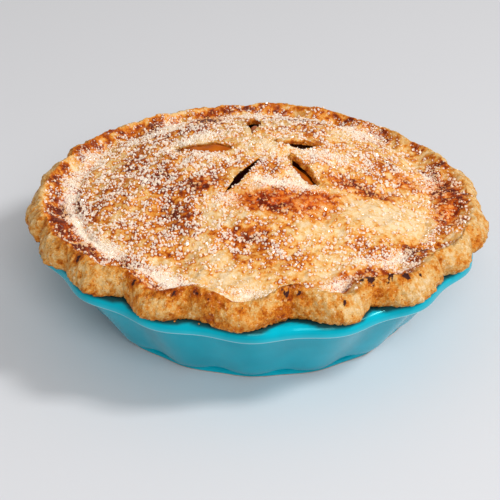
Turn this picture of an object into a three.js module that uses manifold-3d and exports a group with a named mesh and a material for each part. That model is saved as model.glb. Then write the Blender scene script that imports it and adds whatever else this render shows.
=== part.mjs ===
// Double-crust apple pie, baked and served in its ruffled stoneware dish.
// Millimetres, +Z up. The origin is on the table, under the middle of the dish.
// A bearing is an angle round the pie, in degrees: 0 at the front (-Y), 90 at the right (+X).
import * as THREE from "three";
import { mergeVertices } from "three/addons/utils/BufferGeometryUtils.js";
import Module from "manifold-3d";

// ---- Driving dimensions ----

// Dish: an open pan with a flat flange round its mouth and a foot ring under it.
const DISH_HEIGHT = 57;
const RIM_RADIUS = 135;
const RIM_FACE = 7.5; // height of the rolled outer face of the rim
const FLANGE_INNER_RADIUS = 117;
const FOOT_RADIUS = 96;
const FOOT_HEIGHT = 4.5;
const FOOT_WIDTH = 8;
const FOOT_RECESS = 2.6;
const FLOOR_THICKNESS = 4.4;
const WALL_THICKNESS = 7;
const RUFFLES = 16;
const RUFFLE_BEARING = -1.5; // the front ruffle's crest
const RUFFLE_ON_FOOT = 0.6; // how far a crest stands out from the mean wall
const RUFFLE_ON_WALL = 2;
const DISH_SEGMENTS = 96;

// Crust: a domed lid over the apples and a tall hand-crimped edge that rests on the flange.
const GAP = 0.3; // clearance between the crust, the apples and the dish
const LID_RADIUS = 110; // where the lid meets the crimped edge
const LID_SQUEEZE = { bearing: 78, spread: 32, depth: 6 }; // the right of the edge was pushed further in
const LID_EDGE_HEIGHT = 68;
const GROOVES = [
  { bearing: -72, spread: 34, depth: 3 }, // where the lid's edge sank beside the crimp
  { bearing: 68, spread: 26, depth: 2 },
];
const DOME_RISE = 25;
const DOME_POWER = 1.7;
const DOME_SHIFT = { x: 2, y: 24 }; // the top of the dome is off the middle of the pie
const LID_THICKNESS = 5;
const CREST_HEIGHT = 72.4; // mean height of the crimped edge's crest
const CREST_TILT = 2.3; // the front of the edge stands higher and the back lower
const CREST_INSET = 5; // crest to outermost edge at a notch, in plan
const LOBE_ROUNDING = 4; // how much further in the crest lies on a lobe
const EDGE_BULGE = 1.4;
const EDGE_TUCK = 2; // the foot of the edge turns back under it
const DENT_DEPTH = 3.5; // finger dents behind the scallops
const NOTCH_PINCH = 1; // the dough pinched up between two dents
const SCALLOP_POWER = 1.7; // 1 makes sharp notches, 2 notches as round as the lobes
const EDGE_SEGMENTS = 126;
const LID_RINGS = 12;

// Scallops of the edge, round from the left: [bearing, reach] of a lobe, then of the notch after it.
const SCALLOPS = [
  [-82, 140, -71, 137],
  [-61, 141, -55, 135.5],
  [-44, 140, -35, 130],
  [-24.5, 141, -16, 131],
  [-4, 139.5, 8.7, 126],
  [22, 139, 30, 129],
  [40, 140, 53, 133],
  [61, 140.5, 69, 136.6],
  [78, 140.5, 90, 133],
  [100, 136, 108, 129],
  [118, 132, 127, 125.5],
  [138, 130.5, 146, 128],
  [154, 133, 162, 129],
  [172, 133.5, 185, 127],
  [197, 130.5, 202, 128],
  [208, 131, 215, 128],
  [226, 131, 233, 129.5],
  [240, 133.5, 249, 131.5],
  [256, 136, 267, 134.5],
];

// Lumps of the lid over the apple slices, and hollows between them: place, spread and rise.
const LUMPS = [
  { x: 3, y: 24, spread: 34, rise: 2.2 },
  { x: 14, y: -40, spread: 17, rise: 2 },
  { x: -6, y: -57, spread: 9, rise: 1.6 },
  { x: -5, y: -73, spread: 11, rise: -3 },
  { x: -54, y: -42, spread: 13, rise: -2.6 },
  { x: -32, y: -20, spread: 14, rise: 1.6 },
  { x: -46, y: -83, spread: 11, rise: -2.4 },
  { x: -26, y: -66, spread: 10, rise: 1.6 },
  { x: -80, y: -18, spread: 15, rise: 1.8 },
  { x: -72, y: 22, spread: 17, rise: -1.8 },
  { x: -48, y: 52, spread: 18, rise: 2 },
  { x: 75, y: -44, spread: 19, rise: 2.4 },
  { x: 44, y: -72, spread: 13, rise: -2 },
  { x: 66, y: -12, spread: 12, rise: -1.6 },
  { x: 74, y: 24, spread: 14, rise: 1.6 },
  { x: 40, y: 62, spread: 16, rise: 1.8 },
  { x: -4, y: 78, spread: 16, rise: -1.6 },
];

// Steam vents, cut through the lid in a star. level is how far the apples lie below the lid there.
const VENTS = [
  { from: [-14, 14], to: [-48, 28], width: 10, level: 1.4 },
  { from: [-3, 37], to: [-3, 62], width: 9, level: 2.5 },
  { from: [14, 19.5], to: [37.5, 26.5], width: 8, level: 3.6 },
  { from: [17, 4.5], to: [35.5, -19], width: 8, level: 3 },
  { from: [-0.5, 3.5], to: [-17.5, -27], width: 6, level: 3.6 },
];
const SLICE_CLEARANCE = 0.6; // between an apple slice and the cut it shows in
const SLICE_DEPTH = 9;

// Coarse sugar, baked on to the lid and the dents of the edge.
const SUGAR_CANDIDATES = 130;
const SUGAR_RADIUS = 119;
const SUGAR_SMALLEST = 2;
const SUGAR_LARGEST = 3;
const SUGAR_SEED = 20;
const BARE_PATCHES = [
  { x: 75, y: -46, radius: 24 },
  { x: 35, y: -100, radius: 18 },
  { x: 14, y: -40, radius: 14 },
];

// ---- Helpers ----

const wasm = await Module();
wasm.setup();

const radians = THREE.MathUtils.degToRad;

function at(bearing, radius, z) {
  const angle = radians(bearing);
  return new THREE.Vector3(radius * Math.sin(angle), -radius * Math.cos(angle), z);
}

function bearingOf(x, y) {
  return THREE.MathUtils.radToDeg(Math.atan2(x, -y));
}

// A ring of points at even bearings; place(bearing) gives its [radius, height]. One point makes a pole.
function ring(count, place) {
  return Array.from({ length: count }, (_, i) => {
    const bearing = (360 * i) / count;
    const [radius, z] = place(bearing);
    return at(bearing, radius, z);
  });
}

// The closed surface through rings that run from a pole outwards, over the edge and back to a pole.
function skin(rings) {
  const starts = [];
  const points = [];
  for (const loop of rings) {
    starts.push(points.length);
    points.push(...loop);
  }
  const index = [];
  for (let k = 0; k + 1 < rings.length; k++) {
    const n = rings[k].length;
    const m = rings[k + 1].length;
    let i = 0;
    let j = 0;
    while (i < n || j < m) {
      const a = starts[k] + (i % n);
      const b = starts[k + 1] + (j % m);
      const stepOuter = j < m && (i >= n || (j + 1) / m <= (i + 1) / n);
      if (stepOuter) {
        j += 1;
        if (m > 1) index.push(a, b, starts[k + 1] + (j % m));
      } else {
        i += 1;
        if (n > 1) index.push(a, b, starts[k] + (i % n));
      }
    }
  }
  return new THREE.BufferGeometry().setFromPoints(points).setIndex(index);
}

function solid(geometry) {
  const bare = geometry.clone();
  bare.deleteAttribute("normal");
  bare.deleteAttribute("uv");
  const merged = mergeVertices(bare, 1e-4);
  return new wasm.Manifold(
    new wasm.Mesh({
      numProp: 3,
      vertProperties: new Float32Array(merged.attributes.position.array),
      triVerts: new Uint32Array(merged.index.array),
    }),
  );
}

function geometryOf(manifold) {
  const mesh = manifold.getMesh();
  const geometry = new THREE.BufferGeometry();
  geometry.setAttribute("position", new THREE.BufferAttribute(mesh.vertProperties, mesh.numProp));
  geometry.setIndex(new THREE.BufferAttribute(mesh.triVerts, 1));
  geometry.computeVertexNormals();
  return geometry;
}

function seededRandom(seed) {
  let state = seed;
  return () => {
    state = (state + 0x6d2b79f5) | 0;
    let mixed = Math.imul(state ^ (state >>> 15), 1 | state);
    mixed = (mixed + Math.imul(mixed ^ (mixed >>> 7), 61 | mixed)) ^ mixed;
    return ((mixed ^ (mixed >>> 14)) >>> 0) / 2 ** 32;
  };
}

// ---- Dish ----

// How far a ruffle moves the dish out at a bearing, radius and height.
function ruffle(bearing, radius, z) {
  const depth = z > FOOT_HEIGHT ? RUFFLE_ON_WALL : RUFFLE_ON_FOOT;
  const reach = THREE.MathUtils.smoothstep(radius, FOOT_RADIUS - 2 * FOOT_WIDTH, FOOT_RADIUS);
  return depth * reach * Math.cos(radians(RUFFLES * (bearing - RUFFLE_BEARING)));
}

const FLOOR_TOP = FOOT_RECESS + FLOOR_THICKNESS;

// The inside of the dish from the middle of its floor up to the flange, as [radius, height].
const DISH_INSIDE = [
  [76, FLOOR_TOP],
  [FOOT_RADIUS - WALL_THICKNESS - 1, FLOOR_TOP + 2],
  [FOOT_RADIUS - WALL_THICKNESS + 4, FLOOR_TOP + 7.5],
  [FLANGE_INNER_RADIUS - 4, DISH_HEIGHT - 4],
];

function dishProfile() {
  const rimFoot = DISH_HEIGHT - RIM_FACE;
  return [
    [0, FLOOR_TOP],
    ...DISH_INSIDE,
    [FLANGE_INNER_RADIUS, DISH_HEIGHT - 0.9],
    [FLANGE_INNER_RADIUS + 6, DISH_HEIGHT],
    [RIM_RADIUS - 4, DISH_HEIGHT],
    [RIM_RADIUS - 1.2, DISH_HEIGHT - 1.2],
    [RIM_RADIUS, DISH_HEIGHT - 4],
    [RIM_RADIUS - 0.6, rimFoot],
    [RIM_RADIUS - 8, rimFoot - 2],
    [FOOT_RADIUS + 5, FOOT_HEIGHT + 2.6],
    [FOOT_RADIUS + 2.4, FOOT_HEIGHT + 0.2],
    [FOOT_RADIUS, 0],
    [FOOT_RADIUS - FOOT_WIDTH, 0],
    [FOOT_RADIUS - FOOT_WIDTH - 1.5, FOOT_RECESS],
    [0, FOOT_RECESS],
  ].map(([radius, z]) => new THREE.Vector2(radius, z));
}

function makeDish() {
  const geometry = new THREE.LatheGeometry(dishProfile().reverse(), DISH_SEGMENTS);
  geometry.rotateX(Math.PI / 2);
  const position = geometry.attributes.position;
  for (let i = 0; i < position.count; i++) {
    const x = position.getX(i);
    const y = position.getY(i);
    const radius = Math.hypot(x, y);
    if (radius < 1) continue;
    const bearing = bearingOf(x, y);
    const scale = 1 + ruffle(bearing, radius, position.getZ(i)) / radius;
    position.setXY(i, x * scale, y * scale);
  }
  return geometryOf(solid(geometry));
}

// ---- Crust ----

const STATIONS = SCALLOPS.flatMap(([lobe, lobeReach, notch, notchReach]) => [
  { bearing: lobe, reach: lobeReach, lobe: 1 },
  { bearing: notch, reach: notchReach, lobe: 0 },
]);
STATIONS.push({ ...STATIONS[0], bearing: STATIONS[0].bearing + 360 });

// The edge's reach at a bearing, and how much of a lobe (1) or a notch (0) it is there.
function edgeAt(bearing) {
  const first = STATIONS[0].bearing;
  const turned = THREE.MathUtils.euclideanModulo(bearing - first, 360) + first;
  const k = STATIONS.findIndex((station, i) => i > 0 && turned <= station.bearing);
  const before = STATIONS[k - 1];
  const after = STATIONS[k];
  const share = (turned - before.bearing) / (after.bearing - before.bearing);
  const lobe = Math.sin((Math.PI / 2) * (before.lobe ? 1 - share : share)) ** SCALLOP_POWER;
  const notchReach = before.lobe ? after.reach : before.reach;
  const lobeReach = before.lobe ? before.reach : after.reach;
  return { lobe, reach: notchReach + (lobeReach - notchReach) * lobe };
}

function crestHeight(bearing) {
  return CREST_HEIGHT + CREST_TILT * Math.cos(radians(bearing)) + NOTCH_PINCH * (1 - edgeAt(bearing).lobe);
}

// How far the crest lies inside the outermost edge.
function crestInset(lobe) {
  return CREST_INSET + LOBE_ROUNDING * lobe;
}

function crestRadius(bearing) {
  const { lobe, reach } = edgeAt(bearing);
  return reach - crestInset(lobe);
}

// A smooth bump round one bearing, 1 at its middle.
function nearBearing(bearing, { bearing: middle, spread }) {
  const away = THREE.MathUtils.euclideanModulo(bearing - middle + 180, 360) - 180;
  return Math.exp(-((away / spread) ** 2));
}

function lidRadius(bearing) {
  return LID_RADIUS - LID_SQUEEZE.depth * nearBearing(bearing, LID_SQUEEZE);
}

function grooveHeight(bearing) {
  const sunk = GROOVES.map((groove) => groove.depth * nearBearing(bearing, groove));
  return LID_EDGE_HEIGHT - sunk.reduce((a, b) => a + b);
}

// The dome without its lumps.
function domeHeight(x, y) {
  const edge = lidRadius(bearingOf(x, y));
  const shift = 1 - Math.min(Math.hypot(x, y) / edge, 1) ** 2;
  const share = Math.hypot(x - DOME_SHIFT.x * shift, y - DOME_SHIFT.y * shift) / edge;
  return LID_EDGE_HEIGHT + DOME_RISE * Math.max(1 - share ** DOME_POWER, 0);
}

// Low waves of the baked dough, a few tenths of a millimetre high.
function crag(x, y, z) {
  const slow = Math.sin(0.31 * x + 0.17 * z) * Math.cos(0.27 * y - 0.11 * x);
  const quick = Math.sin(0.83 * y + 0.59 * x + 0.41 * z);
  return 0.45 * slow + 0.25 * quick;
}

function lidHeight(x, y) {
  let z = domeHeight(x, y);
  for (const lump of LUMPS) {
    const away = Math.hypot(x - lump.x, y - lump.y) / lump.spread;
    z += lump.rise * Math.exp(-away * away);
  }
  return z + crag(x, y, 0);
}

function lidRing(share) {
  const count = 12 * Math.max(1, Math.round(share * 11));
  return ring(count, (bearing) => {
    const p = at(bearing, share * lidRadius(bearing), 0);
    return [share * lidRadius(bearing), lidHeight(p.x, p.y)];
  });
}

// The height of the crimped edge's inner slope: share 0 at the groove, 1 at the crest.
function slopeHeight(bearing, share) {
  const rise = THREE.MathUtils.lerp(grooveHeight(bearing), crestHeight(bearing), share ** 0.8);
  const dent = DENT_DEPTH * edgeAt(bearing).lobe * Math.sin(Math.PI * share ** 1.2);
  return Math.max(rise - dent, LID_EDGE_HEIGHT - 3);
}

function innerSlopeRing(share) {
  return ring(EDGE_SEGMENTS, (bearing) => {
    const radius = THREE.MathUtils.lerp(lidRadius(bearing), crestRadius(bearing), share);
    const p = at(bearing, radius, 0);
    return [radius, slopeHeight(bearing, share) + crag(p.x, p.y, 0)];
  });
}

// The edge's outer face, a bulging quarter round: share 0 at the crest, 1 at its foot on the flange.
function outerFaceRing(share) {
  const foot = DISH_HEIGHT + 3 * GAP;
  return ring(EDGE_SEGMENTS, (bearing) => {
    const { lobe, reach } = edgeAt(bearing);
    const turn = share * Math.PI * 0.62;
    const out = reach - crestInset(lobe) * (1 - Math.sin(Math.min(turn, Math.PI / 2)));
    const tuck = EDGE_TUCK * THREE.MathUtils.smoothstep(share, 0.6, 1) * (0.6 + 0.4 * lobe);
    const bulge = EDGE_BULGE * Math.sin(Math.PI * share);
    const z = THREE.MathUtils.lerp(crestHeight(bearing), foot, share ** 1.25);
    return [out + bulge - tuck + crag(out, 3 * bearing, 2 * z), z];
  });
}

// The lid's underside, which the apples follow a gap below: [radius, count].
const UNDERSIDE = [
  [20, 18],
  [40, 30],
  [60, 42],
  [80, 54],
  [98, 66],
];

function undersideRing([radius, count], drop) {
  return ring(count, (bearing) => {
    const p = at(bearing, radius, 0);
    return [radius, domeHeight(p.x, p.y) - LID_THICKNESS - drop];
  });
}

function undersidePole(drop) {
  return [new THREE.Vector3(0, 0, domeHeight(0, 0) - LID_THICKNESS - drop)];
}

function crustBody() {
  const onFlange = DISH_HEIGHT + 3 * GAP;
  const top = [[new THREE.Vector3(0, 0, lidHeight(0, 0))]];
  for (let k = 1; k < LID_RINGS; k++) top.push(lidRing(k / LID_RINGS));
  const slope = [0, 0.2, 0.4, 0.6, 0.8, 1].map(innerSlopeRing);
  const face = [0.18, 0.36, 0.56, 0.8, 1].map(outerFaceRing);
  const under = [
    ring(96, () => [FLANGE_INNER_RADIUS + 1, onFlange]),
    ring(96, () => [FLANGE_INNER_RADIUS - 5, onFlange + 0.6]),
  ];
  const lining = [...UNDERSIDE].reverse().map((row) => undersideRing(row, 0));
  return solid(skin([...top, ...slope, ...face, ...under, ...lining, undersidePole(0)]));
}

// A pointed leaf between two tips, wide in the middle; margin draws its sides and tips in.
function leafShape({ from, to, width }, margin) {
  const start = new THREE.Vector2(...from);
  const end = new THREE.Vector2(...to);
  const along = end.clone().sub(start).normalize();
  const across = new THREE.Vector2(-along.y, along.x).multiplyScalar(width - 2 * margin);
  start.addScaledVector(along, 3 * margin);
  end.addScaledVector(along, -3 * margin);
  const middle = start.clone().add(end).multiplyScalar(0.5);
  const shape = new THREE.Shape();
  shape.moveTo(start.x, start.y);
  shape.quadraticCurveTo(middle.x + across.x, middle.y + across.y, end.x, end.y);
  shape.quadraticCurveTo(middle.x - across.x, middle.y - across.y, start.x, start.y);
  return shape;
}

function ventCutter(vent) {
  const cutter = new THREE.ExtrudeGeometry(leafShape(vent, 0), {
    depth: 60,
    bevelEnabled: false,
    curveSegments: 6,
  });
  cutter.translate(0, 0, DISH_HEIGHT);
  return solid(cutter);
}

function nearVent(x, y, clearance) {
  const place = new THREE.Vector3(x, y, 0);
  return VENTS.some(({ from, to, width }) => {
    const cut = new THREE.Line3(new THREE.Vector3(...from, 0), new THREE.Vector3(...to, 0));
    const nearest = cut.closestPointToPoint(place, true, new THREE.Vector3());
    return nearest.distanceTo(place) < width / 2 + clearance;
  });
}

// The largest sugar crystals: turned blocks, sunk a third into the crust, evenly spread by the golden angle.
function sugarGrains() {
  const random = seededRandom(SUGAR_SEED);
  const turn = 180 * (3 - Math.sqrt(5));
  const grains = [];
  for (let i = 0; i < SUGAR_CANDIDATES; i++) {
    const radius = SUGAR_RADIUS * Math.sqrt((i + 0.5) / SUGAR_CANDIDATES) + 3 * (random() - 0.5);
    const place = at(i * turn, Math.min(radius, SUGAR_RADIUS), 0);
    const edges = [random(), random(), random()].map((r) => THREE.MathUtils.lerp(SUGAR_SMALLEST, SUGAR_LARGEST, r));
    const tilt = new THREE.Euler(random() * Math.PI, random() * Math.PI, random() * Math.PI);
    const bare = BARE_PATCHES.some((patch) => Math.hypot(place.x - patch.x, place.y - patch.y) < patch.radius);
    if (bare || nearVent(place.x, place.y, SUGAR_LARGEST)) continue;
    const grain = new THREE.BoxGeometry(...edges);
    grain.applyMatrix4(new THREE.Matrix4().makeRotationFromEuler(tilt));
    grain.translate(place.x, place.y, surfaceHeight(place.x, place.y) + SUGAR_SMALLEST / 5);
    grains.push(solid(grain));
  }
  return grains;
}

// The height of the crust's top at a place on the lid or on the edge's inner slope.
function surfaceHeight(x, y) {
  const radius = Math.hypot(x, y);
  const bearing = bearingOf(x, y);
  const edge = lidRadius(bearing);
  if (radius <= edge) return lidHeight(x, y);
  return slopeHeight(bearing, (radius - edge) / (crestRadius(bearing) - edge));
}

function makeCrust() {
  let crust = crustBody();
  for (const grain of sugarGrains()) crust = crust.add(grain);
  for (const vent of VENTS) crust = crust.subtract(ventCutter(vent));
  return geometryOf(crust);
}

// ---- Apple filling ----

// One soft slice of apple that shows in a vent, its top a little below the lid.
function appleSlice(vent) {
  const slice = new THREE.ExtrudeGeometry(leafShape(vent, SLICE_CLEARANCE), {
    depth: 1,
    bevelEnabled: false,
    curveSegments: 5,
  });
  const position = slice.attributes.position;
  for (let i = 0; i < position.count; i++) {
    const surface = lidHeight(position.getX(i), position.getY(i));
    const drop = position.getZ(i) > 0.5 ? vent.level : SLICE_DEPTH;
    position.setZ(i, surface - drop);
  }
  return solid(slice);
}

function wallRing([radius, z]) {
  return ring(DISH_SEGMENTS, (bearing) => [radius - 2 * GAP + ruffle(bearing, radius, z), z]);
}

function makeFilling() {
  const top = UNDERSIDE.map((row) => undersideRing(row, GAP));
  const shoulder = ring(96, () => [FLANGE_INNER_RADIUS - 6, DISH_HEIGHT]);
  const sides = [...DISH_INSIDE].reverse().slice(0, -1).map(wallRing);
  const bottom = ring(DISH_SEGMENTS, () => [DISH_INSIDE[0][0], FLOOR_TOP + GAP]);
  const floor = [new THREE.Vector3(0, 0, FLOOR_TOP + GAP)];
  let filling = solid(skin([undersidePole(GAP), ...top, shoulder, ...sides, bottom, floor]));
  for (const vent of VENTS) filling = filling.add(appleSlice(vent));
  return geometryOf(filling);
}

// ---- The pie ----

function part(name, geometry, color, roughness) {
  const mesh = new THREE.Mesh(geometry, new THREE.MeshStandardMaterial({ color, roughness, metalness: 0 }));
  mesh.name = name;
  return mesh;
}

const pie = new THREE.Group();
pie.name = "apple_pie";
pie.add(part("pie_dish", makeDish(), 0x0f8a9b, 0.15));
pie.add(part("apple_filling", makeFilling(), 0xb5642a, 0.35));
pie.add(part("pie_crust", makeCrust(), 0xd9a35c, 0.7));

export default pie;
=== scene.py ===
"""Double-crust apple pie, baked and served in its ruffled stoneware dish.

The sections follow the pie as it is put together: the table and the light, the dish, the crust and
its crumbs, the apples, and the sugar. Sizes are in millimetres until MM turns them into metres.
A bearing is an angle round the pie, in degrees: 0 at the front (-Y), 90 at the right (+X).
"""

import math

import bmesh
import bpy
import numpy as np
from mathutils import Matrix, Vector, noise
from mathutils.kdtree import KDTree


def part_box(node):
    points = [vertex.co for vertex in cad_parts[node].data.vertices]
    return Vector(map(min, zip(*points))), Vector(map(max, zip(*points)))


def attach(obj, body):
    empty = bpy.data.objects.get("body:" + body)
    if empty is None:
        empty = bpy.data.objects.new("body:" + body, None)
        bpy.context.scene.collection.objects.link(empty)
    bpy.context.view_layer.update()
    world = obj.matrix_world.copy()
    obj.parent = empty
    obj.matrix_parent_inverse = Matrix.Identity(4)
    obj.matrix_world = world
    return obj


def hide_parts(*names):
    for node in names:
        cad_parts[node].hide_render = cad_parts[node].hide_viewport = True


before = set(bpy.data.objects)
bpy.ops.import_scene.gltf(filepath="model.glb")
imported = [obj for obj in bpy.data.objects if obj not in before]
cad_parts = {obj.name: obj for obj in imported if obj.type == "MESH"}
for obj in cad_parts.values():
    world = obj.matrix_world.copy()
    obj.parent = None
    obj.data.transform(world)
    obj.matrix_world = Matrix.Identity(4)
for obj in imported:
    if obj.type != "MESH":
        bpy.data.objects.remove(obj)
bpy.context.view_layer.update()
MM = 0.001

# ---- Table, light and camera ----
# A matt pale table top, lit by a window at the right and a wide soft light overhead in front.
# The pale room fills the shadows. None of this belongs to the pie.

TABLE_SIZE = 6000
TABLE_COLOUR = (0.585, 0.607, 0.65, 1)
ROOM_COLOUR = (1.0, 0.94, 0.88, 1)
ROOM_LIGHT = 0.46
# Each light: name, place and size in metres, power and colour.
LIGHTS = [
    ("window_light", (1.87, -0.37, 1.9), 0.5, 48, (1, 0.98, 0.95)),
    ("soft_light", (0.35, -2.2, 1.8), 1.3, 46, (1, 0.98, 0.97)),
]
CAMERA_PLACE = (0, -0.9112, 0.5618)
CAMERA_TURN = (1.0419, -0.0122, 0.0119)
CAMERA_SENSOR, CAMERA_LENS = 36, 122.1
CAMERA_REACH = 10


def new_material(name, finish):
    """A node material, its node tree and its Principled shader, with that finish set on the shader."""
    material = bpy.data.materials.new(name)
    material.use_nodes = True
    shader = material.node_tree.nodes["Principled BSDF"]
    for socket, value in finish.items():
        shader.inputs[socket].default_value = value
    return material, material.node_tree, shader


def added_piece(primitive, **settings):
    """A new primitive, with nothing else selected."""
    bpy.ops.object.select_all(action="DESELECT")
    primitive(**settings)
    return bpy.context.object


table = added_piece(bpy.ops.mesh.primitive_plane_add, size=TABLE_SIZE * MM)
table.name = "table_top"
table.data.materials.append(
    new_material("pale_table", {"Base Color": TABLE_COLOUR, "Roughness": 0.55})[0]
)

room = bpy.data.worlds.new("room")
room.use_nodes = True
room.node_tree.nodes["Background"].inputs["Color"].default_value = ROOM_COLOUR
room.node_tree.nodes["Background"].inputs["Strength"].default_value = ROOM_LIGHT
bpy.context.scene.world = room

for name, lamp_place, size, power, colour in LIGHTS:
    bpy.ops.object.light_add(type="AREA", location=lamp_place)
    lamp = bpy.context.object
    lamp.name = name
    lamp.data.energy = power
    lamp.data.size = size
    lamp.data.color = colour
    lamp.rotation_euler = (-lamp.location).to_track_quat("-Z", "Y").to_euler()

bpy.ops.object.camera_add(location=CAMERA_PLACE, rotation=CAMERA_TURN)
camera = bpy.context.object
camera.data.sensor_width = CAMERA_SENSOR
camera.data.lens = CAMERA_LENS
camera.data.clip_end = CAMERA_REACH
bpy.context.scene.camera = camera
bpy.context.scene.view_settings.view_transform = "Standard"

# ---- Pie dish ----
# An open stoneware pan with a flat flange and sixteen soft ruffles pressed into its wall.
# It is slip-cast, dipped in a teal glaze and fired standing on its wiped, bare foot ring.

DISH_HEIGHT = 57
RIM_RADIUS = 135
RIM_FACE = 7.5
FLANGE_INNER_RADIUS = 117
FOOT_RADIUS = 96
FOOT_HEIGHT = 4.5
FOOT_WIDTH = 8
FOOT_RECESS = 2.6
FLOOR_TOP = 7
RUFFLES = 16
RUFFLE_BEARING = -1.5
RUFFLE_ON_FOOT = 0.6
RUFFLE_ON_WALL = 2
DISH_SEGMENTS = 288
BARE_FOOT_HEIGHT = 1.3
# Points closer than this are one point.
DOUBLES = 0.01


def smooth_share(value, low, high):
    """0 below low, 1 above high, with a smooth rise between."""
    share = np.clip((value - low) / (high - low), 0, 1)
    return share * share * (3 - 2 * share)


def bearing_of(x, y):
    return np.degrees(np.arctan2(x, -y))


def round_the_pie(points):
    """Each point's distance from the middle, and its bearing."""
    return np.hypot(points[:, 0], points[:, 1]), bearing_of(points[:, 0], points[:, 1])


def ruffle(bearing, radius, z):
    """How far a ruffle moves the dish out, at a bearing, radius and height."""
    depth = np.where(z > FOOT_HEIGHT, RUFFLE_ON_WALL, RUFFLE_ON_FOOT)
    reach = smooth_share(radius, FOOT_RADIUS - 2 * FOOT_WIDTH, FOOT_RADIUS)
    return depth * reach * np.cos(np.radians(RUFFLES * (bearing - RUFFLE_BEARING)))


def arc(first, middle, last, shares):
    """Points on a curve from first to last, drawn towards middle."""
    return [(1 - t) ** 2 * first + 2 * t * (1 - t) * middle + t * t * last for t in shares]


def rounded(corners, steps=5):
    """A profile of (radius, height, rounding) corners with each corner turned on a small arc."""
    line = [corners[0][:2]]
    for before, corner, after in zip(corners, corners[1:], corners[2:]):
        if corner[2] == 0:
            line.append(corner[:2])
            continue
        point = np.array(corner[:2], float)
        ends = []
        for other in (before, after):
            away = np.array(other[:2], float) - point
            length = np.linalg.norm(away)
            ends.append(point + away / length * min(corner[2], 0.45 * length))
        line += arc(ends[0], point, ends[1], np.arange(steps + 1) / steps)
    line.append(corners[-1][:2])
    return [(float(radius), float(z)) for radius, z in line]


def threes(elements, key, kind=float):
    """One property of a mesh's elements, as an array with three columns."""
    flat = np.empty(len(elements) * 3, kind)
    elements.foreach_get(key, flat)
    return flat.reshape(-1, 3)


def coordinates(mesh):
    """A mesh's vertices as an array of points in millimetres."""
    return threes(mesh.vertices, "co") / MM


def set_coordinates(mesh, points):
    mesh.vertices.foreach_set("co", (np.asarray(points) * MM).ravel())
    mesh.update()


def select_only(piece):
    bpy.ops.object.select_all(action="DESELECT")
    piece.select_set(True)
    bpy.context.view_layer.objects.active = piece


def open_for_edit(piece, kind="VERT"):
    """Opens a piece for editing, with all of it selected."""
    select_only(piece)
    bpy.ops.object.mode_set(mode="EDIT")
    bpy.ops.mesh.select_mode(type=kind)
    bpy.ops.mesh.select_all(action="SELECT")


def turn_faces_out():
    """Ends an edit with every face turned outwards."""
    bpy.ops.mesh.select_all(action="SELECT")
    bpy.ops.mesh.normals_make_consistent(inside=False)
    bpy.ops.object.mode_set(mode="OBJECT")


def spun(name, profile, segments):
    """A piece turned from its profile, as on a wheel."""
    mesh = bpy.data.meshes.new(name)
    edges = [(k, k + 1) for k in range(len(profile) - 1)]
    mesh.from_pydata([(radius * MM, 0, z * MM) for radius, z in profile], edges, [])
    piece = bpy.data.objects.new(name, mesh)
    bpy.context.scene.collection.objects.link(piece)
    open_for_edit(piece)
    bpy.ops.mesh.spin(steps=segments, angle=2 * math.pi, center=(0, 0, 0), axis=(0, 0, 1))
    bpy.ops.mesh.select_all(action="SELECT")
    bpy.ops.mesh.remove_doubles(threshold=DOUBLES * MM)
    turn_faces_out()
    return piece


def paint(mesh, name, values):
    """Keeps one number for each vertex, for the material to read."""
    layer = mesh.attributes.get(name) or mesh.attributes.new(name, "FLOAT", "POINT")
    layer.data.foreach_set("value", np.asarray(values, np.float32))


rim_foot = DISH_HEIGHT - RIM_FACE
dish_profile = rounded(
    [
        (0, FLOOR_TOP, 0),
        (80, FLOOR_TOP, 12),
        (91, FLOOR_TOP + 5, 8),
        (FLANGE_INNER_RADIUS - 3, DISH_HEIGHT - 2, 3),
        (FLANGE_INNER_RADIUS + 5, DISH_HEIGHT, 4),
        *[(radius, DISH_HEIGHT, 0) for radius in range(FLANGE_INNER_RADIUS + 7, RIM_RADIUS - 4)],
        (RIM_RADIUS - 2.4, DISH_HEIGHT, 2.4),
        (RIM_RADIUS, DISH_HEIGHT - 2.6, 1.6),
        (RIM_RADIUS, rim_foot, 0.9),
        (RIM_RADIUS - 5.5, rim_foot - 1.3, 2.0),
        (RIM_RADIUS - 8.5, rim_foot - 4.0, 4.0),
        (FOOT_RADIUS + 5.5, FOOT_HEIGHT + 3.2, 3.0),
        (FOOT_RADIUS + 2.6, FOOT_HEIGHT, 1.2),
        (FOOT_RADIUS + 0.4, FOOT_HEIGHT - 1.0, 0.8),
        (FOOT_RADIUS, 0, 0.6),
        (FOOT_RADIUS - FOOT_WIDTH, 0, 0.6),
        (FOOT_RADIUS - FOOT_WIDTH - 1.5, FOOT_RECESS, 0.8),
        (0, FOOT_RECESS, 0),
    ]
)
dish = spun("glazed_pie_dish", dish_profile, DISH_SEGMENTS)
points = coordinates(dish.data)
radius, bearings = round_the_pie(points)
wave = ruffle(bearings, radius, points[:, 2])
points[:, :2] *= (1 + wave / np.maximum(radius, 1))[:, None]
low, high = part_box("pie_dish")
points = np.clip(points, np.array(low) / MM, np.array(high) / MM)
set_coordinates(dish.data, points)
select_only(dish)
bpy.ops.object.shade_smooth_by_angle(angle=math.radians(50))

# The glaze runs thin over the rim's lower edge and shows paler there; the pale line is also a painted
# highlight along that edge.
THIN_GLAZE_AND_HIGHLIGHT_COLOUR = (0.55, 0.80, 0.82, 1)
thin = np.exp(-(((points[:, 2] - rim_foot + 0.1) / 0.6) ** 2)) * (radius > RIM_RADIUS - 2.5)
paint(dish.data, "thin_glaze_and_highlight", 0.9 * thin)


def add_node(tree, kind, inputs=None, **settings):
    """A node of that kind: settings go on the node, and inputs are values or sockets to link from."""
    node = tree.nodes.new(kind)
    for key, value in settings.items():
        setattr(node, key, value)
    for key, value in (inputs or {}).items():
        if isinstance(value, bpy.types.NodeSocket):
            tree.links.new(value, node.inputs[key])
        else:
            node.inputs[key].default_value = value
    return node


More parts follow.
